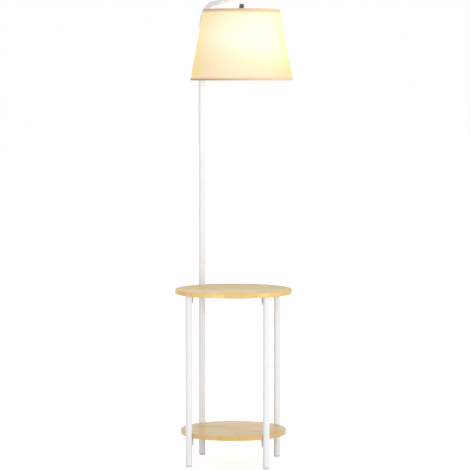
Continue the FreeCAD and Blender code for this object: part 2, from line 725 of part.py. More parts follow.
def globe_radius(radius, z):
    """Radius at a height of a sphere about the globe's centre."""
    return math.sqrt(radius ** 2 - (z - GLOBE_Z) ** 2)


def bulb_housing():
    """Flared plastic shell between the cap and the dome, with a floor for the board."""
    neck_in = BULB_NECK_R - BULB_WALL
    rim_r = globe_radius(BULB_GLOBE_R, HOUSING_LOW)
    floor = HOUSING_LOW + BULB_FLOOR
    flare_z = CAP_LOW - BULB_NECK
    return at_holder(turned((neck_in, CAP_LOW), (BULB_NECK_R, CAP_LOW), (BULB_NECK_R + BULB_FLARE, flare_z),
                            (rim_r, HOUSING_LOW), (rim_r - BULB_WALL, HOUSING_LOW), (rim_r - BULB_WALL, floor),
                            (0, floor), (0, floor + BULB_WALL), (rim_r - 2 * BULB_WALL, floor + BULB_WALL),
                            (neck_in, flare_z)))


def bulb_board():
    high = HOUSING_LOW + BULB_FLOOR
    return at_holder(cylinder(BULB_BOARD_R, high - BULB_BOARD, high))


def bulb_diffuser():
    """Milky dome of the bulb, open towards the board."""
    top = HOUSING_LOW
    inner = BULB_GLOBE_R - BULB_WALL
    diagonal = math.sqrt(0.5)
    outer_mid = (BULB_GLOBE_R * diagonal, GLOBE_Z - BULB_GLOBE_R * diagonal)
    inner_mid = (inner * diagonal, GLOBE_Z - inner * diagonal)
    return at_holder(turned((globe_radius(BULB_GLOBE_R, top), top), (outer_mid, (0, GLOBE_Z - BULB_GLOBE_R)),
                            (0, GLOBE_Z - inner), (inner_mid, (globe_radius(inner, top), top))))


# ---- shade

def cloth_radius(z):
    """Outer radius of the cloth at an absolute height."""
    return SHADE_TOP_R + (SHADE_TOP_Z - z) * SHADE_SLOPE


def shade_cloth():
    low, high = SHADE_BOTTOM_Z + BIND_LIP + FIT, SHADE_TOP_Z - BIND_LIP - FIT
    return at_shade(turned((cloth_radius(low), low), (cloth_radius(high), high),
                           (cloth_radius(high) - CLOTH, high), (cloth_radius(low) - CLOTH, low)))


def binding(edge_z, inward):
    """Tape round a rim: a leaf on the cloth's outside and a lip over its edge.
    inward is +1 when the cloth lies above the edge, -1 when it lies below."""
    leaf_z = edge_z + inward * BIND_WIDTH
    lip_z = edge_z + inward * BIND_LIP
    out = FIT + BIND_THICK
    lip_r = cloth_radius(edge_z) - CLOTH - 2 * RING_WIRE_R - LIP_PAST_RING
    edge_r, leaf_r = cloth_radius(edge_z), cloth_radius(leaf_z)
    return at_shade(turned((lip_r, edge_z), (edge_r + out, edge_z), (leaf_r + out, leaf_z),
                           (leaf_r + FIT, leaf_z), (cloth_radius(lip_z) + FIT, lip_z), (lip_r, lip_z)))


def ring_radius(z):
    """Centre radius of a wire ring that lies inside the cloth at a height."""
    return cloth_radius(z) - CLOTH - RING_WIRE_R - 2 * FIT


def wire_ring(z):
    return Part.makeTorus(ring_radius(z), RING_WIRE_R, V(0, 0, z), UP)


def shade_spider():
    """Hub washer, wires and the top ring, welded into one frame."""
    z = SHADE_TOP_Z - RING_FROM_EDGE
    frame = cylinder(HUB_R, HUB_TOP_Z - HUB_THICK, HUB_TOP_Z).fuse(wire_ring(z))
    start = V(HUB_R - SPIDER_WELD, 0, HUB_TOP_Z - HUB_THICK / 2)
    end = V(ring_radius(z), 0, z)
    wire = Part.makeCylinder(RING_WIRE_R, (end - start).Length, start, end - start)
    for k in range(SPIDER_ARMS):
        arm = wire.copy()
        arm.rotate(V(0, 0, 0), UP, SPIDER_FIRST_DEG + 360.0 * k / SPIDER_ARMS)
        frame = frame.fuse(arm)
    hole = cylinder(HUB_HOLE_R, HUB_TOP_Z - 2 * HUB_THICK, HUB_TOP_Z + HUB_THICK)
    return at_shade(frame.cut(hole))


def bottom_ring():
    return at_shade(wire_ring(SHADE_BOTTOM_Z + RING_FROM_EDGE))


def main():
    os.makedirs("parts", exist_ok=True)
    save("table_top", table_top())
    save("lower_shelf", lower_shelf())
    for name, azimuth in LEGS.items():
        save(name + "_leg", at_leg(rear_leg() if name == "rear" else leg(), azimuth))
        save(name + "_foot_cap", at_leg(foot_cap(), azimuth))
        save(name + "_table_bracket", at_leg(bracket(TABLE_UNDER_Z), azimuth))
        save(name + "_shelf_bracket", at_leg(bracket(SHELF_UNDER_Z), azimuth))
    save("table_bracket_screws", *bracket_screws(TABLE_UNDER_Z))
    save("shelf_bracket_screws", *bracket_screws(SHELF_UNDER_Z))
    save("cord_gland", at_leg(cord_gland(), LEGS["rear"]))

    save("lower_pole", pole_length(TABLE_TOP_Z, POLE_SPLIT_Z))
    save("upper_pole", pole_length(POLE_SPLIT_Z, POLE_TOP_Z))
    save("threaded_plugs", threaded_plug(TABLE_UNDER_Z - PLUG_LENGTH), threaded_plug(TABLE_TOP_Z),
         threaded_plug(POLE_SPLIT_Z - PLUG_LENGTH), threaded_plug(POLE_SPLIT_Z))
    save("table_stud", hollow_stud(TABLE_UNDER_Z - STUD_GRIP, TABLE_TOP_Z + STUD_GRIP))
    save("pole_stud", hollow_stud(POLE_SPLIT_Z - STUD_GRIP, POLE_SPLIT_Z + STUD_GRIP))
    save("pole_collar", pole_collar())
    save("swivel_bush", swivel_bush())
    save("stop_screw", stop_screw())

    save("arm_spigot", arm_spigot())
    save("arm_tube", arm_tube())
    save("arm_end_cap", arm_end_cap())
    save("arm_boss", arm_boss())

    save("knuckle_nipple", knuckle_nipple())
    save("lock_nut", lock_nut())
    save("knuckle_upper", knuckle_upper())
    save("knuckle_lower", knuckle_lower())
    save("knuckle_screw", knuckle_screw())
    save("knuckle_nut", knuckle_nut())
    save("friction_washer", friction_washer())

    save("holder_nipple", holder_nipple())
    save("holder_cap", holder_cap())
    save("holder_body", holder_body())
    save("holder_insert", holder_insert())
    save("thread_sleeve", thread_sleeve())
    save("centre_contact", centre_contact())
    save("terminal_screws", *terminal_screws())
    save("shade_ring", shade_ring())

    save("bulb_tip", bulb_tip())
    save("bulb_cap", bulb_cap())
    save("bulb_housing", bulb_housing())
    save("bulb_board", bulb_board())
    save("bulb_diffuser", bulb_diffuser())

    save("shade_cloth", shade_cloth())
    save("top_binding", binding(SHADE_TOP_Z, -1))
    save("bottom_binding", binding(SHADE_BOTTOM_Z, 1))
    save("shade_spider", shade_spider())
    save("bottom_ring", bottom_ring())


main()
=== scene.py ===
import math

import bmesh
import bpy
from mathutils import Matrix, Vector


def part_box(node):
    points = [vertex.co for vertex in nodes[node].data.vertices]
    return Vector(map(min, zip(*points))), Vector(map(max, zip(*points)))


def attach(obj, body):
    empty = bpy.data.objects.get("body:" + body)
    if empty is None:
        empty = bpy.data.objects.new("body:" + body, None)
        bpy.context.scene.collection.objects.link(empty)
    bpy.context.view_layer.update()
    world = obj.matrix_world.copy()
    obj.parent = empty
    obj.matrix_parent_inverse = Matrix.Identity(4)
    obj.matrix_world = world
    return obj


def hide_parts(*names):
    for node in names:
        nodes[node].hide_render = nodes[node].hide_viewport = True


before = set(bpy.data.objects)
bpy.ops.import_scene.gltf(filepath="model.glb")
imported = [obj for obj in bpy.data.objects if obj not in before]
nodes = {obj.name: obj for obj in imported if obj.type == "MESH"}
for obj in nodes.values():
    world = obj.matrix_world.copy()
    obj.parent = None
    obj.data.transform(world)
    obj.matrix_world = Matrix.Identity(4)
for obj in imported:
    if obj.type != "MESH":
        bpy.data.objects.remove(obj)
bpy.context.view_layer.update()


# ---- The photograph's view
# The camera stands well back at chest height, with the pole on its left and the shade reaching
# over the table to its right, and looks a little down through a long lens.
table_low, table_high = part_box("table_top")
table_mid = (table_low + table_high) / 2
VIEW_TURN = math.radians(53.976)
AIM_TURN = math.radians(53.940)
VIEW_DISTANCE = 7.549
EYE_HEIGHT = 1.256
LOOK_DOWN = math.radians(3.88)
FILM = 36.0
FOCAL_LENGTH = 178.2
FARTHEST_SEEN = 100.0
view_away = Vector((-math.sin(VIEW_TURN), math.cos(VIEW_TURN), 0.0))
view_right = Vector((math.cos(VIEW_TURN), math.sin(VIEW_TURN), 0.0))
eye_x = table_mid.x - view_away.x * VIEW_DISTANCE
eye_y = -view_away.y * VIEW_DISTANCE

camera_data = bpy.data.cameras.new("camera")
camera_data.sensor_width = FILM
camera_data.lens = FOCAL_LENGTH
camera_data.clip_end = FARTHEST_SEEN
camera = bpy.data.objects.new("camera", camera_data)
camera.location = (eye_x, eye_y, EYE_HEIGHT)
camera.rotation_euler = (math.pi / 2 - LOOK_DOWN, 0.0, AIM_TURN)
bpy.context.scene.collection.objects.link(camera)
bpy.context.scene.camera = camera


# ---- The studio
# A white floor under a white sky, and two large soft lamps beside the camera, the brighter one on
# the right, which mirrors and lacquer don't show. The floor is white to the lens and in mirrors,
# and keeps a faint shadow.
def put(tree, socket, value):
    """Wire a socket to another one, or set its plain value."""
    if isinstance(value, bpy.types.NodeSocket):
        tree.links.new(value, socket)
    else:
        socket.default_value = value


def add(tree, kind, settings=None, **inputs):
    """A shader node with its settings and its inputs."""
    node = tree.nodes.new("ShaderNode" + kind)
    for name, value in (settings or {}).items():
        setattr(node, name, value)
    for name, value in inputs.items():
        put(tree, node.inputs[name.replace("_", " ")], value)
    return node


def calc(tree, operation, first, second=0.0):
    """What a Math node makes of one or two numbers."""
    node = add(tree, "Math", {"operation": operation})
    put(tree, node.inputs[0], first)
    put(tree, node.inputs[1], second)
    return node.outputs[0]


def seen_or_mirrored(tree):
    """1 for rays of the lens, of mirrors and through glass, and 0 for the light on the object."""
    path = add(tree, "LightPath")
    seen = calc(tree, "MAXIMUM", path.outputs["Is Camera Ray"], path.outputs["Is Glossy Ray"])
    return calc(tree, "MAXIMUM", seen, path.outputs["Is Transmission Ray"])


WHITE = (1.0, 1.0, 1.0, 1.0)
SKY_LIGHT = 0.70
FLOOR_HALF_WIDTH = 30.0
FLOOR_COLOUR = (0.8, 0.8, 0.8, 1.0)
FLOOR_LIFT = 0.66
LAMP_HEIGHT = 0.8
LAMP_SIZE = 1.5
# Each lamp's name, its watts, and its metres to the right and towards the camera.
LAMPS = (("right_lamp", 54.0, 2.4, 3.2), ("left_lamp", 18.0, -2.2, 3.4))

sky = bpy.data.worlds.new("sky")
sky.use_nodes = True
tree = sky.node_tree
tree.nodes.clear()
level = calc(tree, "MAXIMUM", seen_or_mirrored(tree), SKY_LIGHT)
background = add(tree, "Background", Color=WHITE, Strength=level)
add(tree, "OutputWorld", Surface=background.outputs[0])
bpy.context.scene.world = sky

floor_mesh = bpy.data.meshes.new("floor")
form = bmesh.new()
bmesh.ops.create_grid(form, x_segments=1, y_segments=1, size=FLOOR_HALF_WIDTH)
form.to_mesh(floor_mesh)
form.free()
floor = bpy.data.objects.new("floor", floor_mesh)
bpy.context.scene.collection.objects.link(floor)

floor_paint = bpy.data.materials.new("floor_paint")
floor_paint.use_nodes = True
tree = floor_paint.node_tree
tree.nodes.clear()
matt = add(tree, "BsdfDiffuse", Color=FLOOR_COLOUR)
lift = calc(tree, "MULTIPLY", seen_or_mirrored(tree), FLOOR_LIFT)
glow = add(tree, "Emission", Strength=lift)
both = add(tree, "AddShader")
put(tree, both.inputs[0], matt.outputs[0])
put(tree, both.inputs[1], glow.outputs[0])
add(tree, "OutputMaterial", Surface=both.outputs[0])
floor_mesh.materials.append(floor_paint)

for name, watts, to_right, to_front in LAMPS:
    lamp_data = bpy.data.lights.new(name, "AREA")
    lamp_data.shape = "SQUARE"
    lamp_data.size = LAMP_SIZE
    lamp_data.energy = watts
    lamp = bpy.data.objects.new(name, lamp_data)
    lamp.location = view_right * to_right - view_away * to_front + Vector((0.0, 0.0, LAMP_HEIGHT))
    lamp.rotation_euler = (lamp.location - table_mid).to_track_quat("Z", "Y").to_euler()
    lamp.visible_glossy = False
    bpy.context.scene.collection.objects.link(lamp)

bpy.context.scene.view_settings.view_transform = "Standard"


# ---- Table top and lower shelf
# Two round boards 15 mm thick, glued up from strips of light wood whose short lengths are
# finger-jointed end to end. Both edges are rounded over under a clear satin lacquer.
def new_finish(name, **plain):
    """A material with one Principled shader, whose plain values go on its own sockets."""
    finish = bpy.data.materials.new(name)
    finish.use_nodes = True
    tree = finish.node_tree
    tree.nodes.clear()
    shader = add(tree, "BsdfPrincipled", **plain)
    add(tree, "OutputMaterial", Surface=shader.outputs[0])
    return finish, tree, shader


def on_piece(tree, place=(0.0, 0.0, 0.0), scale=(1.0, 1.0, 1.0)):
    """The piece's own coordinates in metres, stretched and moved."""
    own = add(tree, "TexCoord").outputs["Object"]
    return add(tree, "Mapping", Vector=own, Location=place, Scale=scale).outputs[0]


def turned_level(tree, vector, angle, kind="POINT"):
    """A point or a direction, turned about the upright axis."""
    turn = (0.0, 0.0, angle)
    return add(tree, "Mapping", {"vector_type": kind}, Vector=vector, Rotation=turn).outputs[0]


def parts_of(tree, vector):
    """The X, Y and Z of a vector."""
    return add(tree, "SeparateXYZ", Vector=vector).outputs


def cloud(tree, vector, scale, detail=2.0, roughness=0.5):
    """Noise from 0 to 1."""
    noise = add(tree, "TexNoise", Vector=vector, Scale=scale, Detail=detail, Roughness=roughness)
    return noise.outputs[0]


def stretch(tree, vector, x, y, z):
    """A vector with each of its parts multiplied."""
    node = add(tree, "VectorMath", {"operation": "MULTIPLY"})
    put(tree, node.inputs[0], vector)
    put(tree, node.inputs[1], (x, y, z))
    return node.outputs[0]


def span(tree, value, low, high, to_low=0.0, to_high=1.0, smooth=False):
    """A number moved from one range to another, and held within it."""
    way = "SMOOTHSTEP" if smooth else "LINEAR"
    node = add(tree, "MapRange", {"interpolation_type": way}, Value=value)
    for name, number in (("From Min", low), ("From Max", high), ("To Min", to_low), ("To Max", to_high)):
        put(tree, node.inputs[name], number)
    return node.outputs[0]


def tones(tree, value, *stops):
    """Colours along a number: each stop is its place from 0 to 1 and its colour."""
    node = add(tree, "ValToRGB", Fac=value)
    marks = node.color_ramp.elements
    marks[0].position, marks[0].color = stops[0][0], (*stops[0][1], 1.0)
    marks[1].position, marks[1].color = stops[-1][0], (*stops[-1][1], 1.0)
    for place, colour in stops[1:-1]:
        marks.new(place).color = (*colour, 1.0)
    return node.outputs[0]


def blended(tree, share, first, second, way="MIX"):
    """Two colours mixed, or one laid on the other in another way."""
    node = add(tree, "Mix", {"data_type": "RGBA", "blend_type": way})
    put(tree, node.inputs[0], share)
    put(tree, node.inputs[6], first)
    put(tree, node.inputs[7], second)
    return node.outputs[2]


def tinted(tree, colour, tint):
    """A colour multiplied by another one."""
    return blended(tree, 1.0, colour, tint, "MULTIPLY")


def relief(tree, shader, height, depth, strength=1.0):
    """Raise the surface by a height from 0 to 1 times a depth in metres."""
    bump = add(tree, "Bump", Strength=strength, Distance=depth, Height=height)
    put(tree, shader.inputs["Normal"], bump.outputs[0])


def lay_on(finish, *names):
    """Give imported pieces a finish."""
    for name in names:
        nodes[name].material_slots[0].material = finish


def to_border(tree, share, width):
    """How far it is to the nearer side of a strip or block, from the share of its width."""
    nearer = calc(tree, "MINIMUM", share, calc(tree, "SUBTRACT", 1.0, share))
    return calc(tree, "MULTIPLY", nearer, width)


STRIP_WIDTH = 0.034
STRIPS_TO_SIDE = 5.0            # strips between a board's middle and either side
STRIP_DRAW = 3.7                # tells the strips' random draw from the blocks'
BLOCK_LENGTH = 0.24
BLOCK_SHIFT = 4.0               # how far a block's grain may be moved, so that no two match
FINGER_PITCH = 0.0045
FINGER_LENGTH = 0.010
RING_WIDTH = 0.0030
RING_WANDER = 0.011
PITH_ASIDE = 0.055
PITH_LEAST_DEPTH = 0.012
PITH_MOST_DEPTH = 0.085
GRAIN_TURN = math.radians(-50.0)
GRAIN_DEPTH = 0.00006
WOOD_LIGHT = (0.95, 0.73, 0.33)
WOOD_MIDDLE = (0.90, 0.68, 0.285)
WOOD_DARK = (0.70, 0.48, 0.17)
WOOD_RINGS = ((0.0, WOOD_LIGHT), (0.55, WOOD_MIDDLE), (0.93, WOOD_DARK), (1.0, WOOD_LIGHT))
RING_SHARE = 0.45
FIBRE_TONES = ((0.3, (0.91, 0.90, 0.88)), (0.7, (1.05, 1.05, 1.06)))
STREAK_TONES = ((0.3, (0.95, 0.94, 0.91)), (0.7, (1.03, 1.03, 1.04)))
BLOCK_TONES = (
    (0.0, (0.86, 0.80, 0.74)),
    (0.35, (0.97, 0.95, 0.92)),
    (0.6, (1.0, 0.92, 0.94)),
    (0.8, (1.01, 0.98, 0.82)),
    (1.0, (1.04, 1.06, 1.20)),
)
GLUE_COLOUR = (0.48, 0.32, 0.13, 1.0)
GLUE_SHARE = 0.55
END_GRAIN_COLOUR = (0.60, 0.39, 0.14, 1.0)
END_GRAIN_SHARE = 0.30


def glued_board(name, node, seed, batch, near_painted_light, far_painted_light, lacquer):
    """Finger-jointed wood round the middle of one board, in the tone of its batch. Its strips carry
    painted light and shade: paler or darker from the near side to the far one."""
    low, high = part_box(node)
    middle = (low + high) / 2
    finish, tree, shader = new_finish(
        name, Specular_IOR_Level=0.35, Coat_Weight=lacquer, Coat_Roughness=0.2)
    turned = turned_level(tree, on_piece(tree, place=tuple(-middle)), GRAIN_TURN)
    along, across, deep = parts_of(tree, turned)
    strips = calc(tree, "DIVIDE", across, STRIP_WIDTH)
    strip = calc(tree, "FLOOR", strips)
    in_strip = calc(tree, "FRACT", strips)
    strip_seed = add(tree, "CombineXYZ", X=strip, Y=seed, Z=STRIP_DRAW).outputs[0]
    start = add(tree, "TexWhiteNoise", Vector=strip_seed).outputs["Value"]
    zigzag = calc(tree, "PINGPONG", across, FINGER_PITCH / 2)
    tooth = calc(tree, "MULTIPLY", zigzag, 2 * FINGER_LENGTH / FINGER_PITCH)
    lengths = calc(tree, "DIVIDE", calc(tree, "ADD", along, tooth), BLOCK_LENGTH)
    blocks = calc(tree, "ADD", lengths, start)
    block = calc(tree, "FLOOR", blocks)
    in_block = calc(tree, "FRACT", blocks)
    block_seed = add(tree, "CombineXYZ", X=strip, Y=block, Z=seed).outputs[0]
    chance = add(tree, "TexWhiteNoise", Vector=block_seed).outputs["Color"]
    picks = add(tree, "SeparateColor", Color=chance).outputs

    # Growth rings run round a pith that lies somewhere under or beside each block.
    jump = add(tree, "VectorMath", {"operation": "SCALE"}, Vector=chance, Scale=BLOCK_SHIFT)
    shift = add(tree, "VectorMath", {"operation": "ADD"})
    put(tree, shift.inputs[0], turned)
    put(tree, shift.inputs[1], jump.outputs[0])
    grain = shift.outputs[0]
    wander = cloud(tree, stretch(tree, grain, 3.0, 16.0, 16.0), 1.0)
    from_middle = calc(tree, "MULTIPLY", calc(tree, "SUBTRACT", in_strip, 0.5), STRIP_WIDTH)
    side = calc(tree, "ADD", from_middle, span(tree, picks[1], 0.0, 1.0, -PITH_ASIDE, PITH_ASIDE))
    down = calc(tree, "ADD", deep, span(tree, picks[2], 0.0, 1.0, PITH_LEAST_DEPTH, PITH_MOST_DEPTH))
    side_squared = calc(tree, "POWER", calc(tree, "ABSOLUTE", side), 2.0)
    down_squared = calc(tree, "POWER", down, 2.0)
    from_pith = calc(tree, "SQRT", calc(tree, "ADD", side_squared, down_squared))
    from_pith = calc(tree, "ADD", from_pith, calc(tree, "MULTIPLY", wander, RING_WANDER))
    ring = calc(tree, "FRACT", calc(tree, "DIVIDE", from_pith, RING_WIDTH))
    fibre = cloud(tree, stretch(tree, grain, 14.0, 900.0, 900.0), 1.0, 3.0, 0.6)
    streak = cloud(tree, stretch(tree, grain, 5.0, 160.0, 160.0), 1.0)

    # Glue lines between strips, and the zigzag where two blocks meet.
    side_glue = span(tree, to_border(tree, in_strip, STRIP_WIDTH), 0.0001, 0.0004, 1.0, 0.0)
    end_glue = span(tree, to_border(tree, in_block, BLOCK_LENGTH), 0.0003, 0.0012, 1.0, 0.0)
    glue = calc(tree, "MAXIMUM", side_glue, end_glue)

    colour = blended(tree, RING_SHARE, (*WOOD_MIDDLE, 1.0), tones(tree, ring, *WOOD_RINGS))
    colour = tinted(tree, colour, tones(tree, picks[0], *BLOCK_TONES))
    colour = tinted(tree, colour, (*batch, 1.0))
    # Painted light and shade: the table top's near strips are paler and its far ones darker, and the
    # shelf's near strips are darker, as if shaded by the table above.
    colour = tinted(tree, colour, span(tree, strip, -STRIPS_TO_SIDE, STRIPS_TO_SIDE, near_painted_light, far_painted_light))
    colour = tinted(tree, colour, tones(tree, fibre, *FIBRE_TONES))
    colour = tinted(tree, colour, tones(tree, streak, *STREAK_TONES))
    colour = blended(tree, calc(tree, "MULTIPLY", glue, GLUE_SHARE), colour, GLUE_COLOUR)

    # End grain drinks more lacquer, so it is darker where the rim cuts across the strips.
    normal = add(tree, "TexCoord").outputs["Normal"]
    facing = parts_of(tree, turned_level(tree, normal, GRAIN_TURN, "VECTOR"))
    end_grain = span(tree, calc(tree, "ABSOLUTE", facing[0]), 0.55, 1.0, 0.0, END_GRAIN_SHARE, True)
    colour = blended(tree, end_grain, colour, END_GRAIN_COLOUR)
    put(tree, shader.inputs["Base Color"], colour)
    put(tree, shader.inputs["Roughness"], span(tree, fibre, 0.2, 0.8, 0.52, 0.40))
    raised_fibre = calc(tree, "MULTIPLY", fibre, 0.6)
    raised_ring = calc(tree, "MULTIPLY", ring, 0.25)
    height = calc(tree, "SUBTRACT", calc(tree, "ADD", raised_fibre, raised_ring), glue)
    relief(tree, shader, height, GRAIN_DEPTH, 0.6)
    lay_on(finish, node)


glued_board("table_top_wood", "table_top", seed=11.0, batch=(1.0, 0.98, 0.94),
            near_painted_light=1.06, far_painted_light=0.76, lacquer=0.12)
glued_board("lower_shelf_wood", "lower_shelf", seed=23.0, batch=(0.93, 0.86, 0.76),
            near_painted_light=0.90, far_painted_light=1.04, lacquer=0.45)


# ---- Legs, pole, arm and boss
# Drawn steel tubes with a baked white powder coat, whose skin has the faint ripple of an orange's
# peel. The pole stands on the table over the rear leg, and the thinner arm turns in its top.
WHITE_COAT = (0.875, 0.887, 0.915)
WHITE_COAT_DULL = (0.845, 0.857, 0.885)
COAT_DEPTH = 0.00006
GRAINS_IN_RIPPLE = 4.5
LEG_SIDES = ("front", "left", "rear", "right")


def powder_coat(name, pale, dull, ripple=900.0):
    """A baked coat: a faint ripple, finer grains in it, and slightly duller patches."""
    finish, tree, shader = new_finish(name, Specular_IOR_Level=0.5)
    own = on_piece(tree)
    patches = cloud(tree, own, 14.0, 3.0, 0.6)
    waves = cloud(tree, own, ripple, 1.0)
    grains = cloud(tree, own, GRAINS_IN_RIPPLE * ripple)
    uneven = calc(tree, "ADD", patches, grains)
    skin = calc(tree, "ADD", waves, calc(tree, "MULTIPLY", grains, 0.25))
    put(tree, shader.inputs["Base Color"], tones(tree, patches, (0.3, dull), (0.7, pale)))
    put(tree, shader.inputs["Roughness"], span(tree, uneven, 0.6, 1.4, 0.30, 0.44))
    relief(tree, shader, skin, COAT_DEPTH, 0.5)
    return finish


white_coat = powder_coat("white_powder_coat", WHITE_COAT, WHITE_COAT_DULL)
lay_on(white_coat, *[side + "_leg" for side in LEG_SIDES])
lay_on(white_coat, "lower_pole", "upper_pole", "arm_tube", "arm_boss")


# ---- Brackets under both boards
# Angle brackets bent from 2.5 mm steel strip, coated with the frame. Each is welded to its tube,
# and two slotted wood screws hold it to the board.
bracket_coat = powder_coat("bracket_powder_coat", (0.85, 0.855, 0.86), (0.81, 0.815, 0.82), 1100.0)
for side in LEG_SIDES:
    lay_on(bracket_coat, side + "_table_bracket", side + "_shelf_bracket")


# ---- Screws, studs and plugs
# Bright zinc on turned steel: the wood screws under the boards, the stop screw, and inside the
# tubes the threaded plugs, the two studs, the arm's spigot and the knuckle's nipples.
TURNING_DEPTH = 0.00002


def turned_metal(name, pale, dark, roughness, fineness=2600.0):
    """Plated metal with fine turning lines and a cloudy plate."""
    finish, tree, shader = new_finish(name, Metallic=1.0)
    own = on_piece(tree)
    lines = cloud(tree, stretch(tree, own, 120.0, 120.0, fineness), 1.0)
    plate = cloud(tree, own, 160.0, 4.0, 0.6)
    colour = tones(tree, plate, (0.3, dark), (0.7, pale))
    colour = blended(tree, calc(tree, "MULTIPLY", lines, 0.25), colour, (*dark, 1.0))
    uneven = calc(tree, "ADD", lines, plate)
    dullness = span(tree, uneven, 0.6, 1.4, roughness - 0.08, roughness + 0.10)
    put(tree, shader.inputs["Base Color"], colour)
    put(tree, shader.inputs["Roughness"], dullness)
    relief(tree, shader, lines, TURNING_DEPTH, 0.5)
    return finish


zinc = turned_metal("bright_zinc", (0.66, 0.66, 0.67), (0.50, 0.50, 0.52), 0.32)
lay_on(zinc, "table_bracket_screws", "shelf_bracket_screws", "threaded_plugs", "table_stud", "pole_stud")
lay_on(zinc, "stop_screw", "arm_spigot", "knuckle_nipple", "holder_nipple")


# ---- Foot caps and the cord gland
# Grey moulded plastic caps pushed into the tubes' lower ends, with a fine spark-eroded texture,
# and a black rubber gland that lines the cord's hole in the rear leg.
def moulded(name, pale, dull, roughness, texture, depth):
    """Moulded plastic or rubber: the mould's fine texture, and faint flow clouds."""
    finish, tree, shader = new_finish(name, Specular_IOR_Level=0.45)
    own = on_piece(tree)
    flow = cloud(tree, stretch(tree, own, 1.0, 1.0, 2.5), 35.0, 3.0, 0.55)
    skin = cloud(tree, own, texture, 3.0, 0.6)
    shade = calc(tree, "ADD", calc(tree, "MULTIPLY", flow, 0.7), calc(tree, "MULTIPLY", skin, 0.3))
    dullness = span(tree, skin, 0.3, 0.7, roughness - 0.06, roughness + 0.06)
    put(tree, shader.inputs["Base Color"], tones(tree, shade, (0.35, dull), (0.65, pale)))
    put(tree, shader.inputs["Roughness"], dullness)
    relief(tree, shader, skin, depth, 0.6)
    return finish


foot_plastic = moulded("foot_cap_plastic", (0.72, 0.72, 0.71), (0.66, 0.66, 0.65), 0.55, 1600.0, 0.00008)
lay_on(foot_plastic, *[side + "_foot_cap" for side in LEG_SIDES])
gland_rubber = moulded("gland_rubber", (0.060, 0.060, 0.060), (0.042, 0.042, 0.043), 0.70, 2200.0, 0.00006)
lay_on(gland_rubber, "cord_gland")


# ---- Pole collar, bush and end plug
# White nylon turnings and mouldings: the collar that reduces the pole to the arm, the bush that
# the arm's spigot turns in, the plug in the arm's end, and the washer in the knuckle.
white_nylon = moulded("white_nylon", (0.89, 0.89, 0.875), (0.85, 0.85, 0.835), 0.42, 1900.0, 0.00004)
lay_on(white_nylon, "pole_collar", "swivel_bush", "arm_end_cap", "friction_washer")


# ---- Knuckle
# A small turned joint under the arm's boss, in dark nickel plate. Its upper half turns on the
# nipple and its lower half carries the lampholder. A screw and a nut clamp their two ears.
dark_nickel = turned_metal("dark_nickel", (0.25, 0.245, 0.24), (0.12, 0.12, 0.125), 0.30, 3200.0)
lay_on(dark_nickel, "lock_nut", "knuckle_upper", "knuckle_lower", "knuckle_screw", "knuckle_nut")


# ---- Lampholder
# White moulded shell, insert and shade ring, a stamped brass thread sleeve and centre contact,
# and the two terminal screws of the mains leads.
holder_moulding = moulded("holder_moulding", (0.87, 0.87, 0.85), (0.83, 0.83, 0.81), 0.38, 1500.0, 0.00004)
lay_on(holder_moulding, "holder_cap", "holder_body", "holder_insert", "shade_ring")
stamped_brass = turned_metal("stamped_brass", (0.80, 0.64, 0.32), (0.62, 0.46, 0.20), 0.34, 1800.0)
lay_on(stamped_brass, "thread_sleeve", "centre_contact", "terminal_screws")


# ---- Bulb
# A screw-cap LED bulb: stamped nickelled cap with a brass tip, white moulded housing, a coated
# aluminium board, and a milky globe over it. It is lit, warm white, and dimmer by the housing.
GLOBE_GLOW = 3.5
GLOBE_TOP_GLOW = 0.45 * GLOBE_GLOW
GLOBE_HAZE = ((0.3, (0.93, 0.92, 0.87)), (0.7, (0.97, 0.96, 0.92)))
GLOBE_LIGHT = ((0.0, (1.0, 0.90, 0.70)), (0.7, (1.0, 0.92, 0.74)), (1.0, (1.0, 0.84, 0.58)))
cap_nickel = turned_metal("bulb_cap_nickel", (0.80, 0.80, 0.81), (0.62, 0.62, 0.64), 0.28, 2400.0)
lay_on(cap_nickel, "bulb_cap")
lay_on(stamped_brass, "bulb_tip")
housing_plastic = moulded("bulb_housing_plastic", (0.90, 0.90, 0.89), (0.86, 0.86, 0.85),
                          0.35, 1400.0, 0.00003)
lay_on(housing_plastic, "bulb_housing")
board_metal = moulded("bulb_board_coating", (0.93, 0.93, 0.93), (0.88, 0.88, 0.88), 0.30, 2600.0, 0.00003)
lay_on(board_metal, "bulb_board")

globe_low, globe_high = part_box("bulb_diffuser")
milky, tree, shader = new_finish("milky_globe", Roughness=0.35, Specular_IOR_Level=0.4)
own = on_piece(tree)
up_globe = span(tree, parts_of(tree, own)[2], globe_low.z, globe_high.z)
haze = cloud(tree, own, 90.0, 3.0)
level = span(tree, up_globe, 0.55, 1.0, GLOBE_GLOW, GLOBE_TOP_GLOW, True)
level = calc(tree, "MULTIPLY", level, span(tree, haze, 0.3, 0.7, 0.96, 1.04))
put(tree, shader.inputs["Base Color"], tones(tree, haze, *GLOBE_HAZE))
put(tree, shader.inputs["Emission Color"], tones(tree, up_globe, *GLOBE_LIGHT))
put(tree, shader.inputs["Emission Strength"], level)
lay_on(milky, "bulb_diffuser")


# ---- Spider and rings
# Steel wire rings at both edges of the shade, and three wires from the upper one down to the hub
# that the lampholder's ring clamps. All are spot-welded and coated white.
wire_coat = powder_coat("wire_powder_coat", (0.88, 0.88, 0.86), (0.84, 0.84, 0.82), 1800.0)
lay_on(wire_coat, "shade_spider", "bottom_ring")
